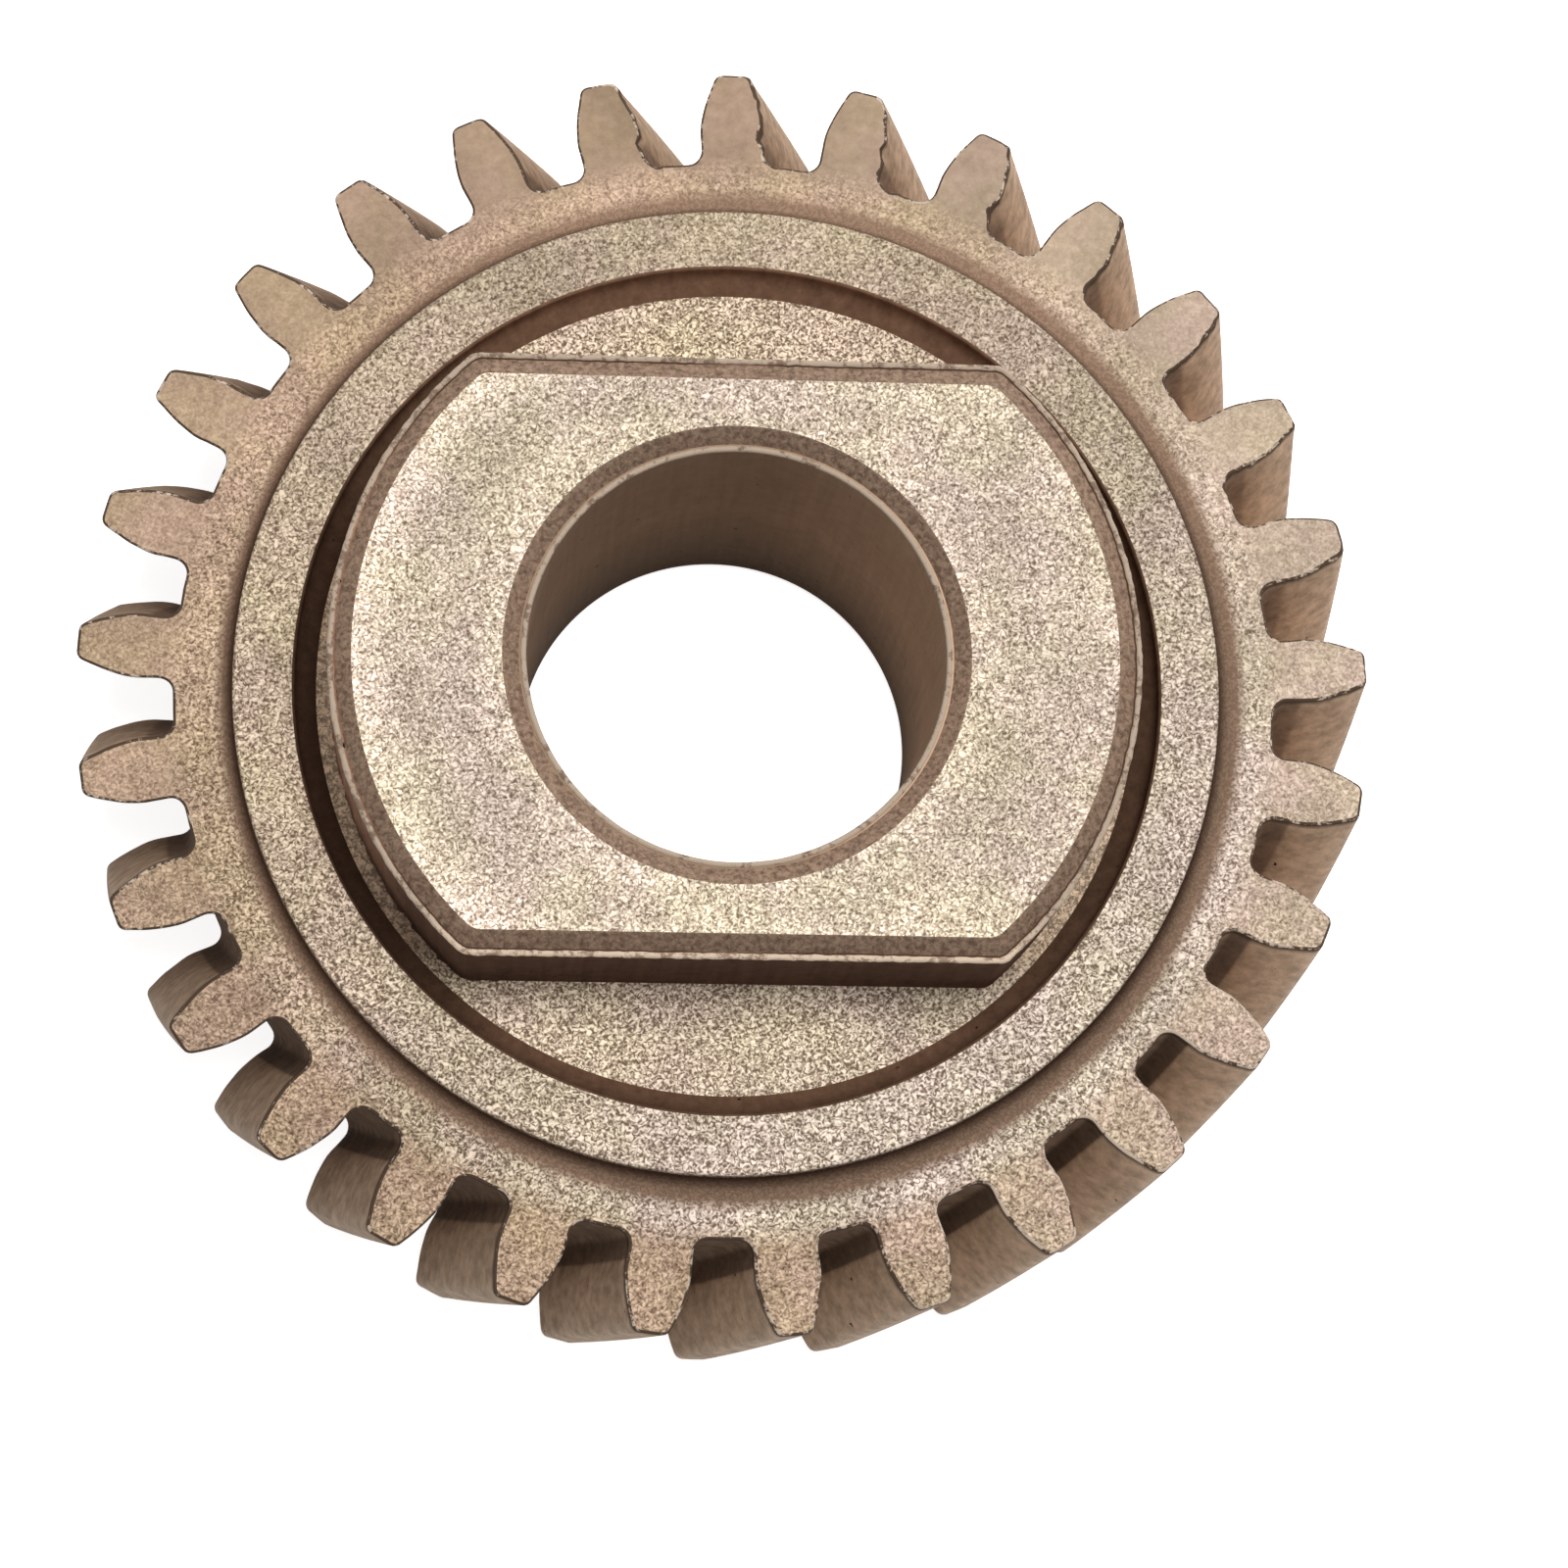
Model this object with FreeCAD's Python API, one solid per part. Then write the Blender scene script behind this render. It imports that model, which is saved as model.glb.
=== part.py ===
# Worm wheel of a small gearbox: one piece of pressed and sintered bronze.
# Millimetres, +Z up. The origin is the centre of the back boss's face, on which the wheel stands.
# +X runs along the two flats of the hub. +Y runs through the middle of the first tooth, at the front face.
import FreeCAD, Part
import math
import os
from FreeCAD import Vector

# Teeth
tooth_count = 29
outside_diameter = 54.0
tooth_depth = 4.0
pressure_angle = math.radians(14.5)
flank_thinning = 0.18
tip_chamfer = 0.15
root_fillet = 0.6
rim_width = 11.3
helix_turn = math.radians(7.7)
involute_points = 6

# Raised ring on the front face, and the sunk floor inside it
ring_outer_radius = 20.5
ring_wall = 2.55
ring_height = 1.04
ring_edge = 0.12
cove_width = 0.85
cove_round = 0.6
floor_below_ring = 1.2

# Hub with two parallel flats
hub_radius = 16.5
hub_across_flats = 24.9
hub_height = 6.55
hub_corner_radius = 0.8

# Bore, and the stepped chamfer that the hub's rim and both mouths of the bore share
bore_radius = 8.5
chamfer_width = 0.73
chamfer_depth = 0.38
chamfer_land = 0.2

# Low plain boss on the back
boss_height = 1.5
boss_edge = 0.3

# How far solids that join reach into each other, and cutters reach past what they cut
overlap = 1.0

# Sizes that follow from those above
module = outside_diameter / (tooth_count + 2)
tooth_pitch = 2 * math.pi / tooth_count
tip_radius = outside_diameter / 2
root_radius = tip_radius - tooth_depth
pitch_radius = module * tooth_count / 2
base_radius = pitch_radius * math.cos(pressure_angle)
front_face = boss_height + rim_width
ring_top = front_face + ring_height
ring_inner_radius = ring_outer_radius - ring_wall
cove_height = cove_width - cove_round * math.tan(math.pi / 8)
recess_floor = ring_top - floor_below_ring
hub_top = front_face + hub_height
boss_radius = ring_outer_radius


def polar(radius, angle):
    return Vector(radius * math.cos(angle), radius * math.sin(angle), 0)


def involute(angle):
    return math.tan(angle) - angle


def half_tooth_angle(radius):
    """Angle from a tooth's middle to its flank, at a radius. Below the base circle the flank is radial."""
    at_pitch = (math.pi * module / 2 - flank_thinning) / (2 * pitch_radius)
    at_base = at_pitch + involute(pressure_angle)
    if radius <= base_radius:
        return at_base
    return at_base - involute(math.acos(base_radius / radius))


def root_tangent_angle():
    """Angle from a tooth's middle to where its fillet meets the root circle."""
    return half_tooth_angle(base_radius) + math.asin(root_fillet / (root_radius + root_fillet))


def half_land_angle():
    """Angle from a tooth's middle to where its chamfer meets the tip circle."""
    return half_tooth_angle(tip_radius) - tip_chamfer / tip_radius


def flank_edges(middle, side):
    """One side of a tooth from root to tip: fillet, radial line, involute and chamfered tip corner."""
    foot = polar(root_radius, middle + side * root_tangent_angle())
    fillet_centre = polar(root_radius + root_fillet, middle + side * root_tangent_angle())
    fillet_end_radius = math.sqrt((root_radius + root_fillet) ** 2 - root_fillet ** 2)
    fillet_end = polar(fillet_end_radius, middle + side * half_tooth_angle(fillet_end_radius))
    halfway = (foot - fillet_centre) + (fillet_end - fillet_centre)
    halfway.normalize()
    fillet = Part.Arc(foot, fillet_centre + halfway * root_fillet, fillet_end).toShape()

    involute_start = polar(base_radius, middle + side * half_tooth_angle(base_radius))
    straight = Part.makeLine(fillet_end, involute_start)

    involute_height = tip_radius - tip_chamfer - base_radius
    points = []
    for step in range(involute_points):
        radius = base_radius + involute_height * step / (involute_points - 1)
        points.append(polar(radius, middle + side * half_tooth_angle(radius)))
    curve = Part.BSplineCurve()
    curve.interpolate(points)

    chamfer = Part.makeLine(points[-1], polar(tip_radius, middle + side * half_land_angle()))
    return [fillet, straight, curve.toShape(), chamfer]


def gear_outline():
    """The wheel's outline across the axis: every tooth, with the root arcs between them."""
    land_angle = half_land_angle()
    root_angle = root_tangent_angle()
    edges = []
    for tooth in range(tooth_count):
        middle = math.pi / 2 + tooth * tooth_pitch
        edges += flank_edges(middle, -1)
        tip_ends = [polar(tip_radius, middle - land_angle), polar(tip_radius, middle + land_angle)]
        edges.append(Part.Arc(tip_ends[0], polar(tip_radius, middle), tip_ends[1]).toShape())
        edges += flank_edges(middle, 1)
        root_start = polar(root_radius, middle + root_angle)
        root_middle = polar(root_radius, middle + tooth_pitch / 2)
        root_end = polar(root_radius, middle + tooth_pitch - root_angle)
        edges.append(Part.Arc(root_start, root_middle, root_end).toShape())
    return Part.Wire(Part.__sortEdges__(edges))


def toothed_rim():
    """The outline swept up the axis while it turns with a right-hand helix."""
    outline = gear_outline()
    outline.rotate(Vector(0, 0, 0), Vector(0, 0, 1), -math.degrees(helix_turn))
    spine = Part.Wire(Part.makeLine(Vector(0, 0, 0), Vector(0, 0, rim_width)))
    helix_lead = rim_width * 2 * math.pi / helix_turn
    guide = Part.Wire(Part.makeHelix(helix_lead, rim_width, pitch_radius))
    sweep = Part.BRepOffsetAPI.MakePipeShell(spine)
    sweep.setAuxiliarySpine(guide, True, 0)
    sweep.add(outline)
    sweep.build()
    sweep.makeSolid()
    rim = sweep.shape()
    rim.translate(Vector(0, 0, boss_height))
    return rim


def section_line(start, end):
    return Part.makeLine(Vector(start[0], 0, start[1]), Vector(end[0], 0, end[1]))


def section_cove(wall_radius, floor, side):
    """What eases an upright wall into a floor: a rounded foot, then a slope of 45 degrees up to the wall.

    The floor lies outside the wall where side is 1, and inside it where side is -1.
    """
    foot = wall_radius + side * cove_width
    points = []
    for angle in (0, math.pi / 8, math.pi / 4):
        x = foot - side * cove_round * math.sin(angle)
        z = floor + cove_round * (1 - math.cos(angle))
        points.append(Vector(x, 0, z))
    slope = Part.makeLine(points[-1], Vector(wall_radius, 0, floor + cove_height))
    return [Part.Arc(*points).toShape(), slope]


def turned(edges):
    """A solid turned about the axis from a closed half section."""
    face = Part.Face(Part.Wire(Part.__sortEdges__(edges)))
    return face.revolve(Vector(0, 0, 0), Vector(0, 0, 1), 360)


def turned_polygon(points):
    edges = []
    for start, end in zip(points, points[1:] + points[:1]):
        edges.append(section_line(start, end))
    return turned(edges)


def front_ring():
    """The ring as a disc, with a cove where its outside meets the front face."""
    low = front_face - overlap
    foot = ring_outer_radius + cove_width
    cove_top = front_face + cove_height
    return turned([
        section_line((0, low), (foot, low)),
        section_line((foot, low), (foot, front_face)),
        *section_cove(ring_outer_radius, front_face, 1),
        section_line((ring_outer_radius, cove_top), (ring_outer_radius, ring_top - ring_edge)),
        section_line((ring_outer_radius, ring_top - ring_edge), (ring_outer_radius - ring_edge, ring_top)),
        section_line((ring_outer_radius - ring_edge, ring_top), (0, ring_top)),
        section_line((0, ring_top), (0, low)),
    ])


def recess_cutter():
    """What is sunk inside the ring, with a cove where its wall meets the floor."""
    high = ring_top + overlap
    cove_top = recess_floor + cove_height
    return turned([
        section_line((0, recess_floor), (ring_inner_radius - cove_width, recess_floor)),
        *section_cove(ring_inner_radius, recess_floor, -1),
        section_line((ring_inner_radius, cove_top), (ring_inner_radius, ring_top - ring_edge)),
        section_line((ring_inner_radius, ring_top - ring_edge), (ring_inner_radius + ring_edge, ring_top)),
        section_line((ring_inner_radius + ring_edge, ring_top), (ring_inner_radius + ring_edge, high)),
        section_line((ring_inner_radius + ring_edge, high), (0, high)),
        section_line((0, high), (0, recess_floor)),
    ])


def hub_outline(inset, height):
    """A circle with two flats and rounded corners, drawn in by an inset and raised to a height."""
    radius = hub_radius - inset
    half = hub_across_flats / 2 - inset
    corner = hub_corner_radius
    corner_y = half - corner
    corner_x = math.sqrt((radius - corner) ** 2 - corner_y ** 2)
    on_circle_x = corner_x * radius / (radius - corner)
    on_circle_y = corner_y * radius / (radius - corner)
    turn = (math.pi / 2 + math.atan2(corner_y, corner_x)) / 2
    mid_x = corner_x + corner * math.cos(turn)
    mid_y = corner_y + corner * math.sin(turn)
    edges = []
    for side in (1, -1):
        round_start = Vector(side * on_circle_x, -side * on_circle_y, height)
        round_end = Vector(side * on_circle_x, side * on_circle_y, height)
        flat_start = Vector(side * corner_x, side * half, height)
        flat_end = Vector(-side * corner_x, side * half, height)
        next_round = Vector(-side * on_circle_x, side * on_circle_y, height)
        edges.append(Part.Arc(round_start, Vector(side * radius, 0, height), round_end).toShape())
        edges.append(Part.Arc(round_end, Vector(side * mid_x, side * mid_y, height), flat_start).toShape())
        edges.append(Part.makeLine(flat_start, flat_end))
        edges.append(Part.Arc(flat_end, Vector(-side * mid_x, side * mid_y, height), next_round).toShape())
    return Part.Wire(edges)


def hub():
    """The hub's upright walls, and above the narrow land its sloping chamfer."""
    foot = recess_floor - overlap
    land = hub_top - chamfer_depth
    walls = Part.Face(hub_outline(0, foot)).extrude(Vector(0, 0, land - foot))
    top = Part.makeLoft(
        [hub_outline(chamfer_land, land), hub_outline(chamfer_land + chamfer_width, hub_top)], True, True)
    return walls.fuse(top)


def back_boss():
    return turned_polygon([
        (0, 0),
        (boss_radius - boss_edge, 0),
        (boss_radius, boss_edge),
        (boss_radius, boss_height + overlap),
        (0, boss_height + overlap),
    ])


def bore_cutter():
    """The bore right through, with the stepped chamfer at each mouth."""
    land_radius = bore_radius + chamfer_land
    mouth_radius = land_radius + chamfer_width
    return turned_polygon([
        (0, -overlap),
        (mouth_radius, -overlap),
        (mouth_radius, 0),
        (land_radius, chamfer_depth),
        (bore_radius, chamfer_depth),
        (bore_radius, hub_top - chamfer_depth),
        (land_radius, hub_top - chamfer_depth),
        (mouth_radius, hub_top),
        (mouth_radius, hub_top + overlap),
        (0, hub_top + overlap),
    ])


def worm_wheel():
    wheel = toothed_rim().fuse([back_boss(), front_ring()])
    wheel = wheel.cut(recess_cutter())
    wheel = wheel.fuse(hub())
    wheel = wheel.cut(bore_cutter())
    return wheel.removeSplitter()


wheel = worm_wheel()
box = wheel.optimalBoundingBox(False, False)
helix_angle = math.degrees(math.atan(pitch_radius * helix_turn / rim_width))
print("valid", wheel.isValid(), "solids", len(wheel.Solids), "faces", len(wheel.Faces))
print("volume mm3", round(wheel.Volume, 1))
print("box mm", round(box.XLength, 3), round(box.YLength, 3), round(box.ZLength, 3))
print("module", round(module, 4), "pitch radius", round(pitch_radius, 3), "helix angle", round(helix_angle, 2))
print("bore wall length", round(hub_top - 2 * chamfer_depth, 3))

os.makedirs("parts", exist_ok=True)
wheel.exportStep("parts/worm_wheel.step")
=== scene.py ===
import math

import bmesh
import bpy
from mathutils import Matrix, Vector, noise


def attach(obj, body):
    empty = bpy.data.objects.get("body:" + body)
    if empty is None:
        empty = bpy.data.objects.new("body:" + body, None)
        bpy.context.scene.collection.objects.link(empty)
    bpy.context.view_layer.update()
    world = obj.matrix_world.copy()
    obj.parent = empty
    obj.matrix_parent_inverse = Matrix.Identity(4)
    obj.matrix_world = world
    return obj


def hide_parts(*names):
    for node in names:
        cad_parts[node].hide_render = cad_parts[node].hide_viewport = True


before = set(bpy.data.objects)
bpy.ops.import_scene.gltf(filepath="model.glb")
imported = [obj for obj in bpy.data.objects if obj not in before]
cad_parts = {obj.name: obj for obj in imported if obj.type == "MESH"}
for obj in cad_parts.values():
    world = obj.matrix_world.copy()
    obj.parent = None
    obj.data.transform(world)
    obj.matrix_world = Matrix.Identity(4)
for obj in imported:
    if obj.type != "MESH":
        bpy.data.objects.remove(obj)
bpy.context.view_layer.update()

# Worm wheel of pressed and sintered bronze. Shapes are made in millimetres and scaled to metres at the end.
mm = 0.001
zAxis = Vector((0, 0, 1))
origin = Vector((0, 0, 0))
quarter = math.pi / 2
mergeGap = 0.001
pressed, formed, stamped, bare = range(4)   # the finishes, in the order of the piece's material slots
print("frame loaded")


def polar(radius, angle, height=0.0):
    return Vector((radius * math.cos(angle), radius * math.sin(angle), height))


def flatRadius(point):
    return math.hypot(point.x, point.y)


def chain(bm, points):  # open line of edges through a few points
    verts = [bm.verts.new(p) for p in points]
    for first, second in zip(verts, verts[1:]):
        bm.edges.new((first, second))
    return verts


def roundCorner(bm, corner, size, segments):
    bmesh.ops.bevel(bm, geom=[corner], offset=size, offset_type="OFFSET", segments=segments,
                    profile=0.5, affect="VERTICES", clamp_overlap=False, material=-1)


def turn(bm, geom, angle, steps, centre=origin, drop=0.0, copies=False):  # seams are merged afterwards
    made = bmesh.ops.spin(bm, geom=geom, cent=centre, axis=zAxis, dvec=(0, 0, -drop / steps), angle=angle,
                          steps=steps, use_duplicate=copies, use_merge=False, use_normal_flip=False)
    return made["geom_last"]


def finishFaces(faces, finish, smooth):
    for face in faces:
        face.material_index = finish
        face.smooth = smooth


def isLevel(face):  # square to the axis
    return abs(face.normal.z) > 0.999


def joinInto(whole, part):  # adds one bmesh to another
    mesh = bpy.data.meshes.new("part")
    part.to_mesh(mesh)
    part.free()
    whole.from_mesh(mesh)
    bpy.data.meshes.remove(mesh)


# The toothed rim
rim = {
    "teeth": 29,
    "tipRadius": 27.0,
    "rootRadius": 23.0,
    "pitchRadius": 25.258,
    "pressureAngle": math.radians(14.5),
    "flankThinning": 0.18,
    "rootFillet": (0.6, 6),     # size and segments of each rounded corner
    "tipRound": (0.24, 3),
    "edgeRound": (0.12, 2),
    "longEdge": (0.3, 2),       # edges of the outline above this length get so many cuts
    "involuteSteps": 9,
    "back": 1.5,
    "front": 12.8,
    "frontRing": 21.4,      # where the front's flat ends and the raised ring's cove starts
    "backRing": 20.75,
    "helixTurn": math.radians(7.7),
    "helixSteps": 12,
    "pointsPerTooth": 24,   # round each ring
}
around = rim["teeth"] * rim["pointsPerTooth"]


def involute(angle):
    return math.tan(angle) - angle


def halfToothAngle(radius):
    module = 2 * rim["pitchRadius"] / rim["teeth"]
    atPitch = (math.pi * module / 2 - rim["flankThinning"]) / (2 * rim["pitchRadius"])
    atBase = atPitch + involute(rim["pressureAngle"])
    baseRadius = rim["pitchRadius"] * math.cos(rim["pressureAngle"])
    if radius <= baseRadius:
        return atBase
    return atBase - involute(math.acos(baseRadius / radius))


def onOutline(vert):  # on the teeth or just inside their roots, not on the ring further in
    return flatRadius(vert.co) > (rim["rootRadius"] + rim["frontRing"]) / 2


def toothFace(bm):  # flat front of one tooth, with its share of the rim inside it
    halfPitch = math.pi / rim["teeth"]
    baseRadius = rim["pitchRadius"] * math.cos(rim["pressureAngle"])
    rise = (rim["tipRadius"] - baseRadius) / rim["involuteSteps"]
    radii = [rim["rootRadius"]] + [baseRadius + rise * step for step in range(rim["involuteSteps"] + 1)]
    points = [polar(rim["rootRadius"], quarter - halfPitch)]
    points += [polar(radius, quarter - halfToothAngle(radius)) for radius in radii]
    points.append(polar(rim["tipRadius"], quarter))
    verts = chain(bm, points)
    foot, tipCorner = verts[1], verts[-2]
    roundCorner(bm, foot, *rim["rootFillet"])
    roundCorner(bm, tipCorner, *rim["tipRound"])
    length, cuts = rim["longEdge"]
    bmesh.ops.subdivide_edges(bm, edges=[e for e in bm.edges if e.calc_length() > length], cuts=cuts)
    bmesh.ops.mirror(bm, geom=bm.verts[:] + bm.edges[:], matrix=Matrix.Identity(4), merge_dist=mergeGap, axis="X")

    start = bm.verts.new(polar(rim["frontRing"], quarter - halfPitch))
    last = turn(bm, [start], 2 * halfPitch, rim["pointsPerTooth"])
    outline = [v for v in bm.verts if onOutline(v)]
    bm.edges.new((start, max(outline, key=lambda v: v.co.x)))
    bm.edges.new((last[0], min(outline, key=lambda v: v.co.x)))
    bmesh.ops.contextual_create(bm, geom=bm.edges[:])


def copyRound(bm):  # one tooth's share, copied to all the teeth
    pitch = 2 * math.pi / rim["teeth"]
    turn(bm, bm.verts[:] + bm.edges[:] + bm.faces[:], pitch * (rim["teeth"] - 1), rim["teeth"] - 1, copies=True)
    bmesh.ops.remove_doubles(bm, verts=bm.verts[:], dist=mergeGap)


def outlineEdges(bm, height):  # the teeth's outline at one end of the rim
    return [e for e in bm.edges if all(abs(v.co.z - height) < mergeGap and onOutline(v) for v in e.verts)]


def toothedRim():
    bm = bmesh.new()
    toothFace(bm)
    copyRound(bm)
    bmesh.ops.translate(bm, vec=(0, 0, rim["front"]), verts=bm.verts[:])
    for face in bm.faces:
        if face.normal.z < 0:
            face.normal_flip()

    behind = bmesh.ops.duplicate(bm, geom=bm.verts[:] + bm.edges[:] + bm.faces[:])["geom"]
    behindVerts = [g for g in behind if isinstance(g, bmesh.types.BMVert)]
    innerVerts = [v for v in behindVerts if not onOutline(v)]
    widen = rim["backRing"] / rim["frontRing"]
    bmesh.ops.scale(bm, vec=(widen, widen, 1), verts=innerVerts)
    step = 2 * math.pi / around      # the inner ring goes round by whole steps, so that the boss still meets it
    extra = rim["helixTurn"] - round(rim["helixTurn"] / step) * step
    bmesh.ops.rotate(bm, cent=origin, matrix=Matrix.Rotation(extra, 3, "Z"), verts=innerVerts)
    bmesh.ops.rotate(bm, cent=origin, matrix=Matrix.Rotation(-rim["helixTurn"], 3, "Z"), verts=behindVerts)
    bmesh.ops.translate(bm, vec=(0, 0, rim["back"] - rim["front"]), verts=behindVerts)
    bmesh.ops.reverse_faces(bm, faces=[g for g in behind if isinstance(g, bmesh.types.BMFace)])
    finishFaces(bm.faces, pressed, False)

    flats = set(bm.faces)
    outline = outlineEdges(bm, rim["front"])
    turn(bm, outline, -rim["helixTurn"], rim["helixSteps"], drop=rim["front"] - rim["back"])
    finishFaces([f for f in bm.faces if f not in flats], formed, True)
    bmesh.ops.remove_doubles(bm, verts=bm.verts[:], dist=mergeGap)

    size, segments = rim["edgeRound"]
    for height in (rim["front"], rim["back"]):
        rounded = bmesh.ops.bevel(bm, geom=outlineEdges(bm, height), offset=size, offset_type="OFFSET",
                                  segments=segments, profile=0.5, affect="EDGES", clamp_overlap=True, material=-1)
        finishFaces(rounded["faces"], bare, True)
    return bm


def turnedSection(points, rounds):  # a line of (radius, height) with rounded corners, turned about the axis
    bm = bmesh.new()
    verts = chain(bm, [Vector((0, radius, height)) for radius, height in points])
    for vert, (size, segments) in zip(verts[1:-1], rounds):
        if size:
            roundCorner(bm, vert, size, segments)
    turn(bm, bm.verts[:] + bm.edges[:], 2 * math.pi / rim["teeth"], rim["pointsPerTooth"])
    copyRound(bm)
    return bm


# The raised ring on the front face, with a cove outside it and another down to the sunk floor
ring = {
    "outerRadius": 20.5,
    "innerRadius": 17.95,
    "top": 13.84,
    "floor": 12.64,
    "floorEdge": 17.05,
    "cove": (0.85, 7),
    "edge": (0.12, 3),
}


def raisedRing():
    bm = turnedSection([
        (rim["frontRing"], rim["front"]),
        (ring["outerRadius"], rim["front"]),
        (ring["outerRadius"], ring["top"]),
        (ring["innerRadius"], ring["top"]),
        (ring["innerRadius"], ring["floor"]),
        (ring["floorEdge"], ring["floor"]),
    ], [ring["cove"], ring["edge"], ring["edge"], ring["cove"]])
    middle = (ring["outerRadius"] + ring["innerRadius"]) / 2
    for face in bm.faces:
        outside = flatRadius(face.calc_center_median()) > middle
        level = isLevel(face)
        finishFaces([face], pressed if outside or level else formed, not level)
    return bm


# Section of the stepped chamfer round the hub and at the bore's mouths: distance from the wall and depth below
# the face. A burr stands up along the wall, with a groove behind it, and then comes the slope.
lip = [
    (0.0, 0.60), (0.0, 0.46), (0.012, 0.39), (0.05, 0.345), (0.12, 0.33), (0.20, 0.34), (0.235, 0.385),
    (0.265, 0.435), (0.305, 0.39), (0.60, 0.205), (0.885, 0.035), (0.93, 0.012), (0.985, 0.0),
]
burrEnd, burrFoot, grooveEnd = 0.235, 0.46, 0.305


def lipFinish(inset, depth):
    if inset > grooveEnd:
        return stamped
    return bare if inset < burrEnd and depth < burrFoot else formed


hub = {
    "radius": 16.5,
    "acrossFlats": 24.9,
    "cornerRadius": 0.8,
    "top": 19.35,
    "roundSteps": 188,
    "cornerSteps": 8,
    "flatSteps": 144,
    "wallRows": (13.4, 14.6, 16.0, 17.4),
}


def hubLoop(whole, inset, height):  # circle with two flats and rounded corners, drawn in from the wall
    bm = bmesh.new()
    radius = hub["radius"] - inset
    cornerY = hub["acrossFlats"] / 2 - inset - hub["cornerRadius"]
    cornerX = math.sqrt((radius - hub["cornerRadius"]) ** 2 - cornerY ** 2)
    swing = math.atan2(cornerY, cornerX)
    last = turn(bm, [bm.verts.new(polar(radius, -swing))], 2 * swing, hub["roundSteps"])
    last = turn(bm, last, quarter - swing, hub["cornerSteps"], centre=(cornerX, cornerY, 0))
    flat = bmesh.ops.extrude_vert_indiv(bm, verts=last)
    bmesh.ops.translate(bm, vec=(-2 * cornerX, 0, 0), verts=flat["verts"])
    turn(bm, flat["verts"], quarter - swing, hub["cornerSteps"], centre=(-cornerX, cornerY, 0))
    bmesh.ops.subdivide_edges(bm, edges=flat["edges"], cuts=hub["flatSteps"] - 1)
    turn(bm, bm.verts[:] + bm.edges[:], math.pi, 1, copies=True)
    bmesh.ops.remove_doubles(bm, verts=bm.verts[:], dist=mergeGap)
    bmesh.ops.translate(bm, vec=(0, 0, height), verts=bm.verts[:])
    known = set(whole.edges)
    joinInto(whole, bm)
    return [e for e in whole.edges if e not in known]


def circleLoop(bm, radius, height):
    made = bmesh.ops.create_circle(bm, segments=around, radius=radius, matrix=Matrix.Translation((0, 0, height)))
    return [e for e in bm.edges if e.verts[0] in made["verts"]]


def bridge(bm, first, second, finish, smooth):
    made = bmesh.ops.bridge_loops(bm, edges=first + second)
    finishFaces(made["faces"], finish, smooth)


def hubAndFloor():
    bm = bmesh.new()
    floorEdge = circleLoop(bm, ring["floorEdge"], ring["floor"])
    foot = hubLoop(bm, 0.0, ring["floor"])
    bridge(bm, floorEdge, foot, pressed, False)
    previous, lastInset = foot, 0.0
    for height in hub["wallRows"]:
        loop = hubLoop(bm, 0.0, height)
        bridge(bm, previous, loop, formed, True)
        previous = loop
    for inset, depth in lip:
        loop = hubLoop(bm, inset, hub["top"] - depth)
        bridge(bm, previous, loop, lipFinish((inset + lastInset) / 2, depth), True)
        previous, lastInset = loop, inset
    bridge(bm, previous, circleLoop(bm, bore["radius"] + lip[-1][0], hub["top"]), pressed, False)
    return bm


# The bore right through, and the low boss on the back
bore = {"radius": 8.5, "rows": 5}
boss = {"radius": 20.5, "edge": (0.3, 3), "cove": (0.25, 3)}


def boreAndBack():
    section = [(bore["radius"] + inset, hub["top"] - depth) for inset, depth in reversed(lip)]
    upper, lower = section[-1][1], lip[0][1]
    section += [(bore["radius"], upper + (lower - upper) * row / bore["rows"]) for row in range(1, bore["rows"])]
    section += [(bore["radius"] + inset, depth) for inset, depth in lip]
    rounds = [(0, 0)] * (len(section) - 1)
    section += [(boss["radius"], 0.0), (boss["radius"], rim["back"]), (rim["backRing"], rim["back"])]
    bm = turnedSection(section, rounds + [boss["edge"], boss["cove"]])
    for face in bm.faces:
        middle = face.calc_center_median()
        radius = flatRadius(middle)
        if isLevel(face):
            finishFaces([face], pressed, False)
        elif radius > boss["radius"] / 2:
            finishFaces([face], formed, True)
        else:
            finishFaces([face], lipFinish(radius - bore["radius"], min(middle.z, hub["top"] - middle.z)), True)
    return bm


wheel = bmesh.new()
for make in (toothedRim, raisedRing, hubAndFloor, boreAndBack):
    joinInto(wheel, make())
bmesh.ops.remove_doubles(wheel, verts=wheel.verts[:], dist=mergeGap)
bmesh.ops.recalc_face_normals(wheel, faces=wheel.faces[:])
print("wheel shaped:", len(wheel.faces), "faces")

# Wear: how far the edges wander, over what length, and which stretch of the noise they follow
wear = {
    "seed": 1,                             # keeps the noise the same each run
    "hubBurr": (0.035, 0.28, 3.0),
    "boreBurr": (0.012, 0.6, 5.0),
    "hubWall": (0.05, 0.45, 7.0),
    "hubFoot": (0.16, 0.30, 9.0),
    "toothEdge": (0.022, 0.7, 11.0),
    "rubbedEdge": (0.085, 0.33, 13.0),
    "burrDepths": (0.32, 0.47),            # below the hub's face
    "wallLeftOf": -11.0,                   # where the hub's wall is uneven
    "footWithin": (-9.0, 6.0),             # its foot is, left of and below these
    "edgeDepth": 0.13,                     # from the teeth's ends
    "rubbedWithin": (-5.0, 6.0, -0.012),   # right of and above these, and this far round from a tooth's middle
    "chipDrop": 0.8,                       # down for each step inwards
}
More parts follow.
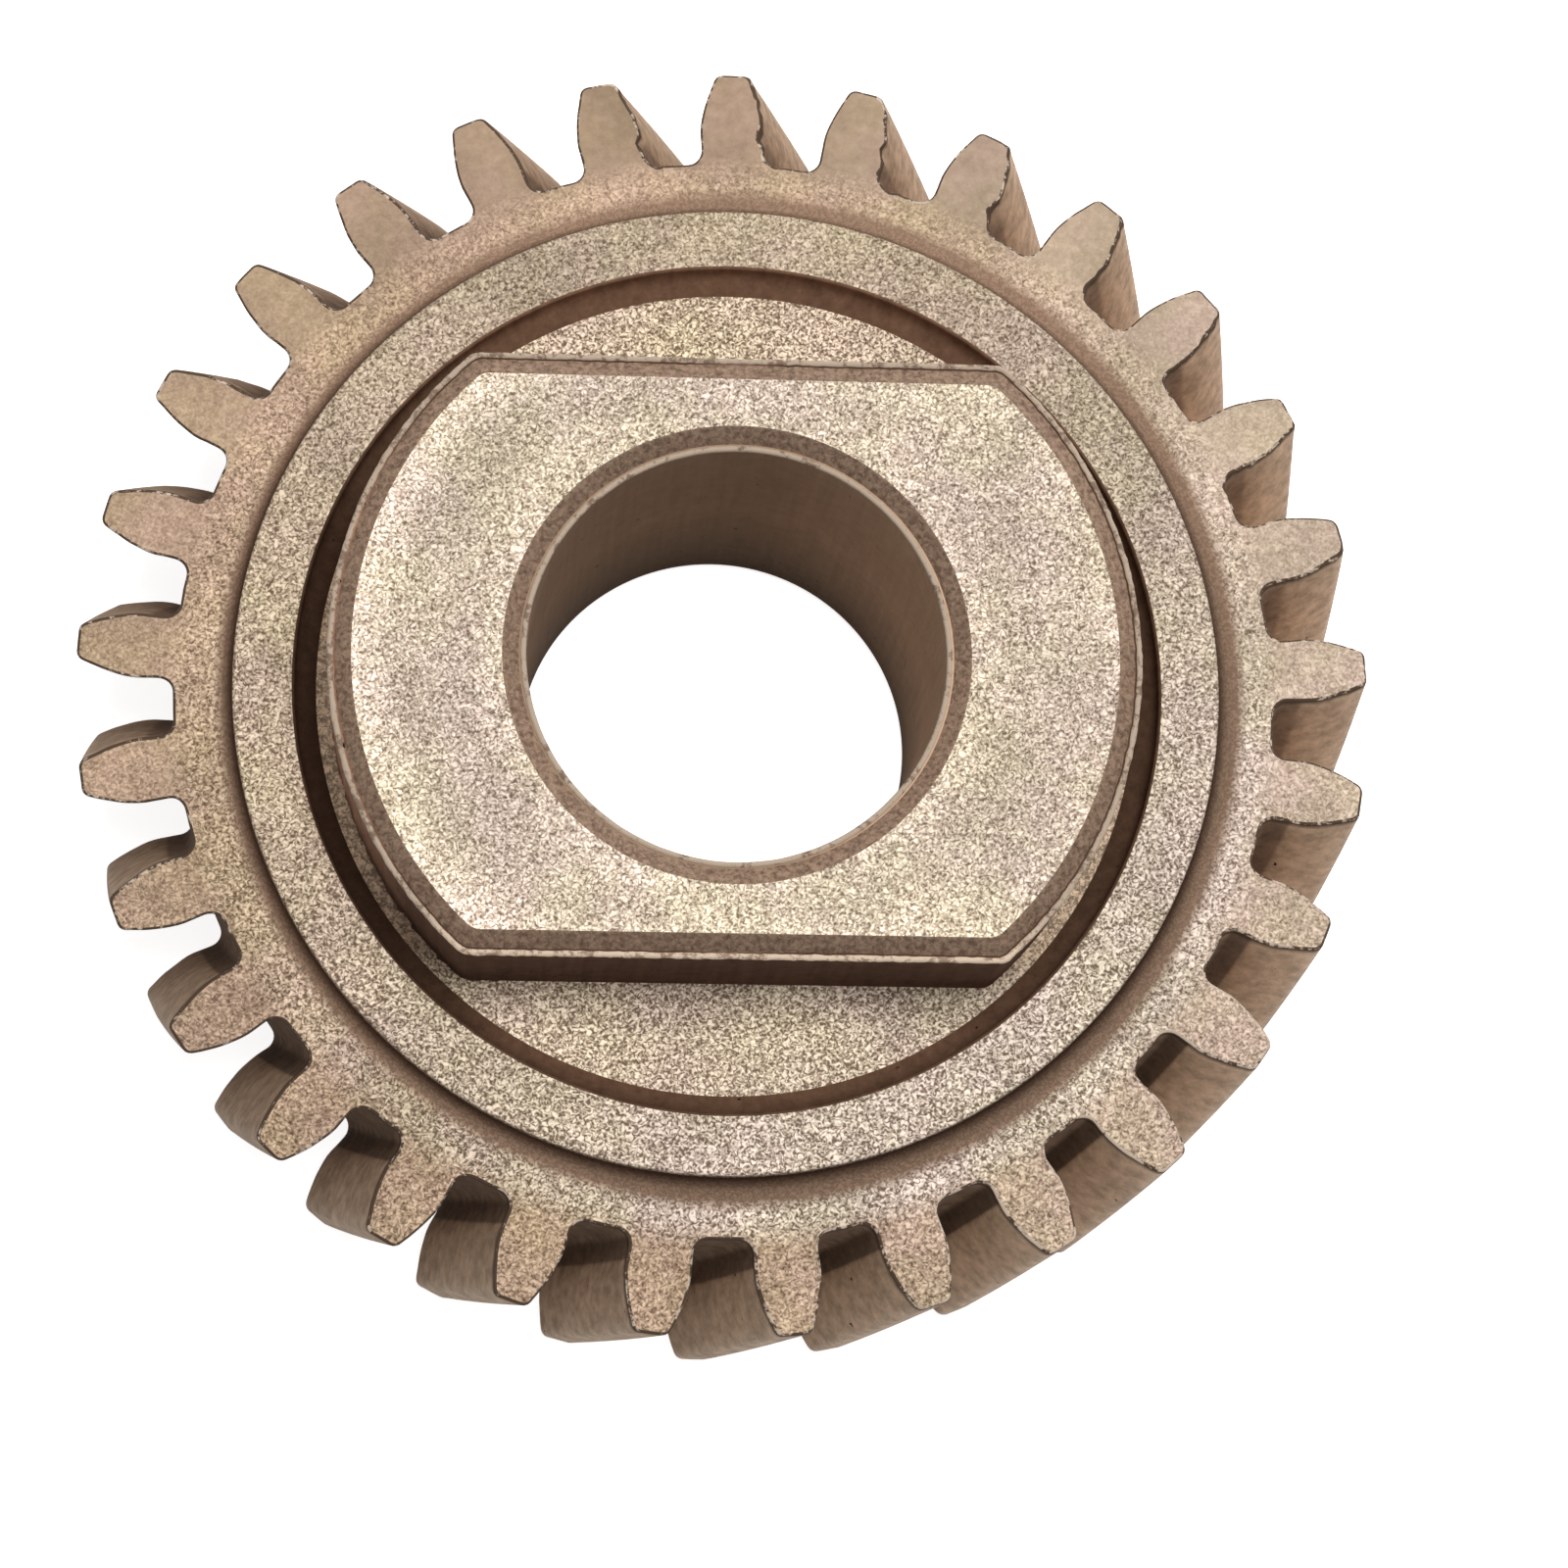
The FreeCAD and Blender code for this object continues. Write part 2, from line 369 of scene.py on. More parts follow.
# Bites out of the teeth's front edges: degrees round, distance from the axis, size and depth
chips = [
    (87.4, 24.3, 0.50, 0.30), (99.3, 24.1, 0.40, 0.22), (62.5, 24.0, 0.50, 0.32), (74.5, 24.6, 0.45, 0.22),
    (47.6, 24.6, 0.55, 0.30), (48.8, 25.6, 0.40, 0.20), (33.2, 24.2, 0.40, 0.20), (64.0, 25.9, 0.35, 0.15),
    (19.9, 24.4, 0.35, 0.16), (257.8, 26.2, 0.35, 0.18), (232.5, 24.6, 0.40, 0.16), (3.4, 25.2, 0.30, 0.12),
]


def roughen(verts, amount, size, seed):
    shift = Vector((seed, -seed, seed))
    for v in verts:
        v.co += noise.noise_vector(v.co / size + shift) * amount


def sideOfTooth(point):  # angle from the middle of the nearest tooth, less than nought on its clockwise side
    pitch = 2 * math.pi / rim["teeth"]
    return (math.atan2(point.y, point.x) - quarter + pitch / 2) % pitch - pitch / 2


def wearHub(bm):
    shallow, deep = wear["burrDepths"]
    burrs = [v for v in bm.verts if hub["top"] - deep < v.co.z < hub["top"] - shallow]
    halfWay = (bore["radius"] + hub["acrossFlats"] / 2) / 2
    roughen([v for v in burrs if flatRadius(v.co) > halfWay], *wear["hubBurr"])
    roughen([v for v in burrs if flatRadius(v.co) < bore["radius"] + burrEnd + mergeGap], *wear["boreBurr"])

    floor, wallTop = ring["floor"], hub["wallRows"][-1]
    wall = [v for v in bm.verts if floor - mergeGap < v.co.z < wallTop + mergeGap
            and hub["acrossFlats"] / 2 - mergeGap < flatRadius(v.co) < hub["radius"] + mergeGap]
    roughen([v for v in wall if v.co.x < wear["wallLeftOf"] and v.co.z > floor + mergeGap], *wear["hubWall"])
    leftOf, below = wear["footWithin"]
    foot = [v for v in wall if v.co.x < leftOf and v.co.y < below and v.co.z < floor + mergeGap]
    roughen(foot, *wear["hubFoot"])
    for v in foot:
        v.co.z = floor


def chipOff(verts, degrees, radius, size, depth):
    angle = math.radians(degrees)
    place = polar(radius, angle, rim["front"])
    inwards = polar(1, angle + (quarter if sideOfTooth(place) < 0 else -quarter), -wear["chipDrop"]).normalized()
    for v in verts:
        away = (v.co - place).length
        if away < size:
            v.co += inwards * depth * (1 - (away / size) ** 2)


def wearTeeth(bm):  # the teeth's outer ends and their flat faces stay where they are
    front, back, depth = rim["front"], rim["back"], wear["edgeDepth"]
    teeth = [v for v in bm.verts if onOutline(v)]
    fronts = [v for v in teeth if v.co.z > front - depth]
    backs = [v for v in teeth if v.co.z < back + depth]
    levels = {v: v.co.z for v in fronts + backs if min(front - v.co.z, v.co.z - back) < mergeGap}
    roughen(fronts + backs, *wear["toothEdge"])
    rightOf, above, side = wear["rubbedWithin"]
    rubbed = [v for v in fronts if v.co.x > rightOf and v.co.y > above and sideOfTooth(v.co) < side]
    roughen(rubbed, *wear["rubbedEdge"])
    for chip in chips:
        chipOff(fronts, *chip)
    for v in teeth:
        if flatRadius(v.co) > rim["tipRadius"]:
            v.co.xy *= rim["tipRadius"] / flatRadius(v.co)
        v.co.z = levels[v] if v in levels else min(max(v.co.z, back), front)


noise.seed_set(wear["seed"])
wearHub(wheel)
wearTeeth(wheel)
print("edges worn:", sum(len(f.verts) - 2 for f in wheel.faces), "triangles")
bmesh.ops.scale(wheel, vec=(mm, mm, mm), verts=wheel.verts[:])
wheelMesh = bpy.data.meshes.new("toothedWheel")
wheel.to_mesh(wheelMesh)
wheel.free()
toothedWheel = bpy.data.objects.new("toothedWheel", wheelMesh)
bpy.context.scene.collection.objects.link(toothedWheel)


# Materials
def newMaterial(name):
    material = bpy.data.materials.new(name)
    material.use_nodes = True
    return material, material.node_tree, material.node_tree.nodes["Principled BSDF"]


def put(tree, kind, inputs=(), **settings):  # adds a node, sets it and joins its inputs
    node = tree.nodes.new("ShaderNode" + kind)
    for name, value in settings.items():
        setattr(node, name, value)
    for socket, value in dict(inputs).items():
        if isinstance(value, bpy.types.NodeSocket):
            tree.links.new(value, node.inputs[socket])
        else:
            node.inputs[socket].default_value = value
    return node


def mixColour(tree, factor, first, second, way="MIX"):
    node = put(tree, "Mix", {0: factor, 6: first, 7: second}, data_type="RGBA", blend_type=way)
    return node.outputs[2]


def mixValue(tree, factor, first, second):
    return put(tree, "Mix", {0: factor, 2: first, 3: second}, data_type="FLOAT").outputs[0]


def dimmed(tree, colour, factor):
    return put(tree, "VectorMath", {0: colour, "Scale": factor}, operation="SCALE").outputs["Vector"]


def ramp(tree, value, stops):
    node = put(tree, "ValToRGB", {"Fac": value})
    elements = node.color_ramp.elements
    elements.remove(elements[0])
    elements[0].position, elements[0].color = stops[0]
    for position, colour in stops[1:]:
        elements.new(position).color = colour
    return node.outputs["Color"]


def combine(tree, operation, first, *others):  # one kind of sum over several values
    for other in others:
        first = put(tree, "Math", {0: first, 1: other}, operation=operation).outputs[0]
    return first


def times(tree, *values):
    return combine(tree, "MULTIPLY", *values)


def plus(tree, *values):
    return combine(tree, "ADD", *values)


def absolute(tree, value):
    return put(tree, "Math", {0: value}, operation="ABSOLUTE").outputs[0]


def spread(tree, value, low, high, toLow=0.0, toHigh=1.0):  # maps a range of values, clamped
    return put(tree, "MapRange", {"Value": value, "From Min": low, "From Max": high, "To Min": toLow,
                                  "To Max": toHigh}).outputs["Result"]


def millimetres(tree, stretch=(1, 1, 1)):
    coords = put(tree, "TexCoord").outputs["Object"]
    scale = [value / mm for value in stretch]
    return put(tree, "Mapping", {"Vector": coords, "Scale": scale}).outputs["Vector"]


def grainNoise(tree, place, perMillimetre, detail=2.0, roughness=0.5, distortion=0.0):
    return put(tree, "TexNoise", {"Vector": place, "Scale": perMillimetre, "Detail": detail,
                                  "Roughness": roughness, "Distortion": distortion}).outputs["Fac"]


def bump(tree, height, depth):
    return put(tree, "Bump", {"Height": height, "Distance": depth * mm}).outputs["Normal"]


def finishShader(tree, shader, look, colour, normal):
    tree.links.new(colour, shader.inputs["Base Color"])
    tree.links.new(normal, shader.inputs["Normal"])
    for socket in ("Metallic", "Roughness", "Specular IOR Level"):
        shader.inputs[socket].default_value = look[socket.split()[0].lower()]


# What a material knows of a point, by name. The looks below give a range as such a name, its two ends and, where
# they aren't nought and 1, the values at those ends. They give a noise as features in a millimetre, detail,
# roughness and distortion.
def measures(tree):
    place = millimetres(tree)
    x, y, z = put(tree, "SeparateXYZ", {0: place}).outputs
    flat = put(tree, "CombineXYZ", {"X": x, "Y": y}).outputs[0]
    radius = put(tree, "VectorMath", {0: flat}, operation="LENGTH").outputs["Value"]
    sideways, upward = combine(tree, "DIVIDE", x, radius), combine(tree, "DIVIDE", y, radius)
    return {"place": place, "x": x, "y": y, "z": z, "radius": radius, "sideways": sideways, "upward": upward}


def allOf(tree, here, *ranges):  # several ranges multiplied
    return times(tree, *(spread(tree, here[measure], *ends) for measure, *ends in ranges))


def sumOf(tree, here, rows):  # several such rows added up
    return plus(tree, *(allOf(tree, here, *ranges) for ranges in rows))


# Flat faces from the press: open grain, pale where the grains' tops are rubbed and brown in the pores.
# The teeth are closer grained and browner, most of all near the top of the picture.
faceLook = {
    "tones": [(0.26, (0.15, 0.11, 0.085, 1)), (0.50, (0.495, 0.42, 0.363, 1)), (0.74, (0.84, 0.75, 0.68, 1))],
    "hubTint": (1.0, 0.995, 0.945, 1),
    "oliveTint": (1.0, 0.955, 0.845, 1),
    "brownTint": (1.0, 0.86, 0.72, 1),
    "plainTint": (1.0, 1.0, 1.0, 1),
    "warmTint": (1.03, 0.975, 0.965, 1),
    "yellowTint": (1.0, 0.99, 0.88, 1),
    "grain": (7.6, 0.0, 0.5, 0.5),
    "fissures": (4.8, 0.0, 0.5, 0.8),
    "fissureTones": (0.0, 0.2, 0.22, 0.72),
    "grainShare": 0.55,
    "mottle": (2.2, 3.0, 0.6),
    "mottleShare": 0.2,
    "tintPatches": (0.22, 3.0, 0.6),
    "tintLevels": (0.38, 0.62),
    "palePatches": (0.25, 2.0),
    "paleLevels": (0.35, 0.65, -0.09, 0.09),
    "grainDepth": 0.03,
    "metallic": 0.25, "roughness": 0.55, "specular": 0.05,
}
# Which face a point lies on, and towards which side of the wheel
faceRanges = {
    "ring": ("z", 13.0, 13.6),
    "hub": ("z", 14.0, 16.0),
    "rim": ("radius", 20.6, 21.6),
    "teeth": ("radius", 22.3, 23.4),
    "nearTop": ("y", -20.0, 24.0),
    "right": ("sideways", 0.0, 1.0),
    "left": ("sideways", 0.0, -1.0),
    "low": ("upward", 0.0, -1.0),
    "plainSide": ("lowerRight", -0.3, 0.9, 0.0, 0.85),
}
# For each face a base value, and what is added for each of its measures
faceShares = {
    "contrast": {
        "floor": {"base": 1.35},
        "ring": {"base": 1.4, "nearTop": -0.55},
        "rim": {"base": 1.3, "nearTop": -0.72},
        "teeth": {"base": 0.892, "nearTop": -0.84},
        "hub": {"base": 1.0},
    },
    "brown": {
        "floor": {"base": 0.0},
        "ring": {"base": 0.0},
        "rim": {"base": 0.5, "lowerRight": -0.5},
        "teeth": {"base": 1.0, "right": -0.4},
        "hub": {"base": 0.0},
    },
    "plain": {
        "floor": {"base": 0.0, "plainSide": 0.5},
        "ring": {"base": 0.0, "plainSide": 1.0},
        "rim": {"base": 0.0, "plainSide": 1.0},
        "teeth": {"base": 0.0, "right": 0.5},
        "hub": {"base": 0.0},
    },
    # painted light: the ring, the rim and the teeth lighter or darker towards some sides; the base values are
    # each face's own lightness
    "lightnessAndPaintedLight": {
        "floor": {"base": 1.15},
        "ring": {"base": 0.9, "upward": -0.12},
        "rim": {"base": 0.92, "sideways": 0.045, "upward": -0.05},
        "teeth": {"base": 0.645, "right": 0.25, "left": 0.11, "low": 0.07},
        "hub": {"base": 1.0},
    },
}
hubGlare = [
    [("radius", 9.7, 11.4, 0.33, 0.0), ("mottle", 0.38, 0.6)],       # round the bore's mouth
    [("radius", 14.0, 15.5, 0.0, 0.22), ("mottle", 0.38, 0.6)],      # inside the round rim
    [("offCentre", 10.0, 11.4, 0.0, 0.22), ("mottle", 0.38, 0.6)],   # along the flats
    [("radius", 13.4, 15.2, 0.0, 0.4), ("sideways", 0.0, -1.0)],     # on the left
    [("y", -7.5, -10.5, 0.0, 0.1)],                                  # lower down
]
# Painted shade in the cove outside the raised ring and on the sunk floor round the hub, paler towards some sides
# as painted light: where it lies, its share of the paler colour, and its tone
paintedCoveShade = {
    "dark": (0.045, 0.022, 0.014, 1),
    "pale": (0.20, 0.128, 0.086, 1),
    "widerOnLeft": 0.45,
    "place": [("radius", 20.49, 20.53), ("z", 13.84, 13.80), ("coveRadius", 21.9, 21.4)],
    "paler": [[("radius", 20.55, 21.0)]],
    "toneAndPaintedLight": [("level", 0.38, 0.6, 0.85, 1.15), ("left", 0.0, 1.0, 1.0, 1.4), ("upward", 0.0, 1.0, 1.0, 1.35)],
}
# painted shade on the sunk floor between the hub and the raised ring, darkest by the ring's inner wall and paler
# towards the right and lower left
paintedGapShade = {
    "dark": (0.13, 0.08, 0.055, 1),
    "pale": (0.40, 0.29, 0.20, 1),
    "place": [("z", 12.0, 12.1), ("z", 13.0, 12.7), ("offCentre", 12.8, 11.0), ("radius", 15.8, 16.5),
              ("radius", 18.1, 17.9), ("sideways", -0.4, 0.6, 1.0, 0.8)],
    "paler": [[("sideways", -0.3, 0.8)], [("sideways", -0.5, -0.8), ("y", -14.0, -6.0, 0.0, 0.85)]],
    "toneAndPaintedLight": [("coarse", 0.8, 1.2, 0.5, 1.5), ("radius", 16.6, 17.8, 1.5, 0.5)],
}


def faceValue(tree, here, shares):
    value = shares["base"]
    for measure in [name for name in shares if name != "base"]:
        value = plus(tree, value, times(tree, here[measure], shares[measure]))
    return value


def byFace(tree, here, shares):  # each face's own value, blended where the faces meet
    value = faceValue(tree, here, shares["floor"])
    for face in ("ring", "rim", "teeth", "hub"):
        value = mixValue(tree, here[face], value, faceValue(tree, here, shares[face]))
    return value


def faceMeasures(tree):
    look, here = faceLook, measures(tree)
    here["offCentre"] = absolute(tree, here["y"])
    here["lowerRight"] = times(tree, combine(tree, "SUBTRACT", here["sideways"], here["upward"]), math.sqrt(0.5))
    for name, limits in faceRanges.items():
        here[name] = allOf(tree, here, limits)
    here["coveRadius"] = plus(tree, here["radius"], times(tree, here["left"], paintedCoveShade["widerOnLeft"]))

    fissures = absolute(tree, plus(tree, grainNoise(tree, here["place"], *look["fissures"]), -0.5))
    fissures = spread(tree, fissures, *look["fissureTones"])
    grain = plus(tree, grainNoise(tree, here["place"], *look["grain"]), fissures, -1.0)
    grain = times(tree, grain, look["grainShare"])     # grain and mottle swing evenly to both sides of nought
    mottle = plus(tree, grainNoise(tree, here["place"], *look["mottle"]), -0.5)
    contrast = byFace(tree, here, faceShares["contrast"])
    here["level"] = plus(tree, 0.5, times(tree, grain, contrast), times(tree, mottle, look["mottleShare"]))
    here["mottle"], here["coarse"] = plus(tree, mottle, 0.5), plus(tree, mottle, grain, 1.0)
    return here


# lays painted shade over a colour: a dark or paler shade colour, toned, where the look places it
def withPaintedShade(tree, here, colour, look):
    toneAndPaintedLight = mixColour(tree, sumOf(tree, here, look["paler"]), look["dark"], look["pale"])
    toneAndPaintedLight = dimmed(tree, toneAndPaintedLight, allOf(tree, here, *look["toneAndPaintedLight"]))
    return mixColour(tree, allOf(tree, here, *look["place"]), colour, toneAndPaintedLight)


def pressedMaterial():
    material, tree, shader = newMaterial("pressedFace")
    look, here = faceLook, faceMeasures(tree)
    tint = mixColour(tree, byFace(tree, here, faceShares["brown"]), look["oliveTint"], look["brownTint"])
    tint = mixColour(tree, byFace(tree, here, faceShares["plain"]), tint, look["plainTint"])
    tint = mixColour(tree, here["hub"], tint, look["hubTint"])
    colour = mixColour(tree, 1.0, ramp(tree, here["level"], look["tones"]), tint, "MULTIPLY")
    patches = spread(tree, grainNoise(tree, here["place"], *look["tintPatches"]), *look["tintLevels"])
    tint = mixColour(tree, patches, look["warmTint"], look["yellowTint"])
    colour = mixColour(tree, 1.0, colour, tint, "MULTIPLY")

    patches = spread(tree, grainNoise(tree, here["place"], *look["palePatches"]), *look["paleLevels"])
    glare = times(tree, here["hub"], sumOf(tree, here, hubGlare))
    # painted light: each face's lightness, lighter or darker towards some sides, with the glare on the hub
    colour = dimmed(tree, colour, plus(tree, byFace(tree, here, faceShares["lightnessAndPaintedLight"]), glare, patches))
    # painted shade in the cove outside the raised ring and on the sunk floor round the hub
    colour = withPaintedShade(tree, here, colour, paintedCoveShade)
    colour = withPaintedShade(tree, here, colour, paintedGapShade)
    finishShader(tree, shader, look, colour, bump(tree, here["level"], look["grainDepth"]))
    return material


# Walls that slid along the tool: smooth and brown, with faint lines along the axis and a few pits
sunkWall = [("radius", 16.8, 17.0), ("radius", 18.2, 18.0)]
wallLook = {
    "tones": [   # distance from the axis, colour
        (8.6, (0.42, 0.29, 0.20, 1)), (12.0, (0.42, 0.29, 0.20, 1)),         # bore
        (12.3, (0.11, 0.062, 0.042, 1)), (16.7, (0.11, 0.062, 0.042, 1)),    # hub wall
        (17.0, (0.072, 0.038, 0.023, 1)), (18.1, (0.115, 0.064, 0.04, 1)),   # sunk wall
        (20.0, (0.22, 0.145, 0.10, 1)), (23.1, (0.22, 0.145, 0.10, 1)),      # between the teeth
        # painted shadow: a darker band on the teeth's roots, up to 24.1 from the axis, with a sharp edge to the
        # paler flanks
        (23.3, (0.20, 0.128, 0.085, 1)), (24.1, (0.27, 0.175, 0.118, 1)),
        (24.3, (0.42, 0.282, 0.187, 1)), (26.5, (0.50, 0.355, 0.25, 1)), (27.0, (0.60, 0.46, 0.35, 1)),
    ],
    "outermost": 27.5,
    "drawn": (1.0, 3.0, 0.6),
    "drawnStretch": (3.0, 3.0, 0.12),
    "mottle": (1.5, 3.0, 0.65),
    "mottleShare": ("radius", 19.0, 22.0, 0.5, 0.85),     # fewer drawn lines on the teeth
    "unevenness": [[("uneven", 0.35, 0.65, -1.0, 1.0), ("radius", 8.9, 9.3, 0.1, 0.25)]],
    "shaded": [
        [("radius", 9.3, 8.9), ("z", 1.0, 10.0, -0.7, 0.0)],          # down the bore
        [("radius", 22.4, 22.6), ("z", 12.45, 12.6, 0.0, -0.5)],      # a thin line under the teeth's front edge
    ],
    "paintedLightSides": [   # painted light and shade, paler or darker towards one side
        [("radius", 9.3, 8.9), ("sideways", 0.2, 0.9, 0.0, 0.6)],                     # bore
        [("radius", 16.9, 16.7), ("x", -13.0, -15.5, 0.0, 2.2)],                      # hub wall
        sunkWall + [("y", 6.0, 14.0, 0.0, 1.1)],
        sunkWall + [("y", -9.0, -15.0), ("radius", 17.1, 17.7, 1.0, 0.25)],
        sunkWall + [("sideways", -0.4, -0.8, 0.0, -0.35)],
        [("radius", 22.4, 22.6), ("sideways", -0.7, 0.9, -0.15, 0.32)],               # teeth
        [("radius", 23.15, 23.35), ("radius", 24.2, 24.1), ("upward", 0.0, -0.6, 0.0, -0.75),
         ("sideways", -0.2, 0.6, 0.5, 1.0)],                                          # painted shadow on their roots, darkest low down and towards the right
    ],
    "pit": (0.02, 0.012, 0.009, 1),
    "pits": (2.3, 2.0, 0.6),
    "morePits": [("radius", 16.9, 16.7), ("x", -13.0, -15.5, 0.0, 0.08)],
    "pitLevels": (0.73, 0.77),
    "grain": (6.0, 2.0, 0.6),
    "grainDepth": 0.015,
    "metallic": 0.0, "roughness": 0.75, "specular": 0.01,
}


def formedMaterial():
    material, tree, shader = newMaterial("formedWall")
    look, here = wallLook, measures(tree)
    base = ramp(tree, times(tree, here["radius"], 1 / look["outermost"]),
                [(distance / look["outermost"], colour) for distance, colour in look["tones"]])
    drawn = grainNoise(tree, millimetres(tree, look["drawnStretch"]), *look["drawn"])
    mottle = grainNoise(tree, here["place"], *look["mottle"])
    here["uneven"] = mixValue(tree, allOf(tree, here, look["mottleShare"]), drawn, mottle)
    tones = [plus(tree, 1.0, sumOf(tree, here, look[rows])) for rows in ("unevenness", "shaded", "paintedLightSides")]
    pits = plus(tree, grainNoise(tree, here["place"], *look["pits"]), allOf(tree, here, *look["morePits"]))
    colour = dimmed(tree, base, times(tree, *tones))
    colour = mixColour(tree, spread(tree, pits, *look["pitLevels"]), colour, look["pit"])
    height = plus(tree, grainNoise(tree, here["place"], *look["grain"]), here["uneven"])
    finishShader(tree, shader, look, colour, bump(tree, height, look["grainDepth"]))
    return material


# Chamfers that the punch stamped: closed, brown and a little speckled, with painted light making them paler where
# they face +y
slopeLook = {
    "tones": [(0.34, (0.14, 0.084, 0.056, 1)), (0.64, (0.37, 0.25, 0.172, 1))],
    "grain": (4.5, 3.0, 0.65, 0.5),
    "grainDepth": 0.03,
    "facing": ("radius", 9.6, 11.2, -1.0, 1.0),     # the bore's chamfer slopes inwards, the hub's outwards
    # painted light: paler where the chamfer faces +y
    "paintedLightByFacing": (-1.0, 0.3, 0.78, 1.03),
    "metallic": 0.0, "roughness": 0.5, "specular": 0.15,
}


def stampedMaterial():
    material, tree, shader = newMaterial("stampedSlope")
    look, here = slopeLook, measures(tree)
    grain = grainNoise(tree, here["place"], *look["grain"])
    facing = times(tree, here["upward"], allOf(tree, here, look["facing"]))
    colour = dimmed(tree, ramp(tree, grain, look["tones"]), spread(tree, facing, *look["paintedLightByFacing"]))
    finishShader(tree, shader, look, colour, bump(tree, grain, look["grainDepth"]))
    return material


# Burrs and edges rubbed bare, duller in places, with painted highlights and painted shade along some of them
edgeLook = {
    "dull": (0.30, 0.21, 0.15, 1),
    "bright": (0.61, 0.48, 0.365, 1),
    "levels": (0.42, 0.5),
    "boreBrighter": ("radius", 9.0, 9.5, 0.03, 0.0),
    # painted highlight: the burr brighter along the hub's lower flat
    "toneAndPaintedLight": ("y", -10.5, -12.0, 0.85, 1.25),
    "teeth": ("radius", 21.9, 22.2),
    "toothDark": (0.10, 0.066, 0.045, 1),
    "toothBright": (0.66, 0.53, 0.42, 1),
    "toothLevels": (0.52, 0.6),
    # painted highlight: the teeth's back edges, and their edges towards the lower right, paler
    "teethPaintedHighlight": [[("z", 2.0, 3.0, 0.2, 0.0)], [("x", 0.0, 12.0), ("y", 0.0, -15.0, 0.0, 0.1)]],
    # painted shade: a dark line just under the teeth's front edges
    "paintedShadeUnderEdge": (0.09, 0.056, 0.038, 1),
    "paintedShadeUnderEdgePlace": [("radius", 21.9, 22.2), ("z", 12.75, 12.72), ("z", 2.0, 3.0)],
    "coarse": (0.9, 2.0, 0.6),
    "fine": (4.5, 2.0, 0.6),
    "grain": (6.0, 2.0),
    "grainDepth": 0.02,
    "metallic": 0.0, "roughness": 0.6, "specular": 0.05,
}


def bareMaterial():
    material, tree, shader = newMaterial("bareEdge")
    look, here = edgeLook, measures(tree)
    coarse, fine = (grainNoise(tree, here["place"], *look[size]) for size in ("coarse", "fine"))
    broken = plus(tree, times(tree, plus(tree, coarse, fine), 0.5), allOf(tree, here, look["boreBrighter"]))
    burr = mixColour(tree, spread(tree, broken, *look["levels"]), look["dull"], look["bright"])
    burr = dimmed(tree, burr, allOf(tree, here, look["toneAndPaintedLight"]))
    broken = plus(tree, broken, sumOf(tree, here, look["teethPaintedHighlight"]))
    edge = mixColour(tree, spread(tree, broken, *look["toothLevels"]), look["toothDark"], look["toothBright"])
    colour = mixColour(tree, allOf(tree, here, look["teeth"]), burr, edge)
    colour = mixColour(tree, allOf(tree, here, *look["paintedShadeUnderEdgePlace"]), colour, look["paintedShadeUnderEdge"])
    grain = grainNoise(tree, here["place"], *look["grain"])
    finishShader(tree, shader, look, colour, bump(tree, grain, look["grainDepth"]))
    return material


for material in (pressedMaterial(), formedMaterial(), stampedMaterial(), bareMaterial()):
    wheelMesh.materials.append(material)
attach(toothedWheel, "root")
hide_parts("worm_wheel")
print("materials made")

# Pale floor
floorPlate = {"size": 1.2, "colour": (0.9, 0.9, 0.9, 1), "roughness": 0.9, "glow": 0.84}


def seenDirectly(tree):  # 1 for rays from the eye, or by way of a gloss or a clear piece
    rays = put(tree, "LightPath").outputs
    return combine(tree, "MAXIMUM", rays["Is Camera Ray"], rays["Is Glossy Ray"], rays["Is Transmission Ray"])


def makeFloor():
    bm = bmesh.new()
    bmesh.ops.create_grid(bm, x_segments=1, y_segments=1, size=floorPlate["size"] / 2)
    mesh = bpy.data.meshes.new("paleFloor")
    bm.to_mesh(mesh)
    bm.free()
    floor = bpy.data.objects.new("paleFloor", mesh)
    bpy.context.scene.collection.objects.link(floor)
    material, tree, shader = newMaterial("palePaper")
    shader.inputs["Base Color"].default_value = floorPlate["colour"]
    shader.inputs["Roughness"].default_value = floorPlate["roughness"]
    shader.inputs["Emission Color"].default_value = (1, 1, 1, 1)
    tree.links.new(times(tree, seenDirectly(tree), floorPlate["glow"]), shader.inputs["Emission Strength"])
    mesh.materials.append(material)


makeFloor()

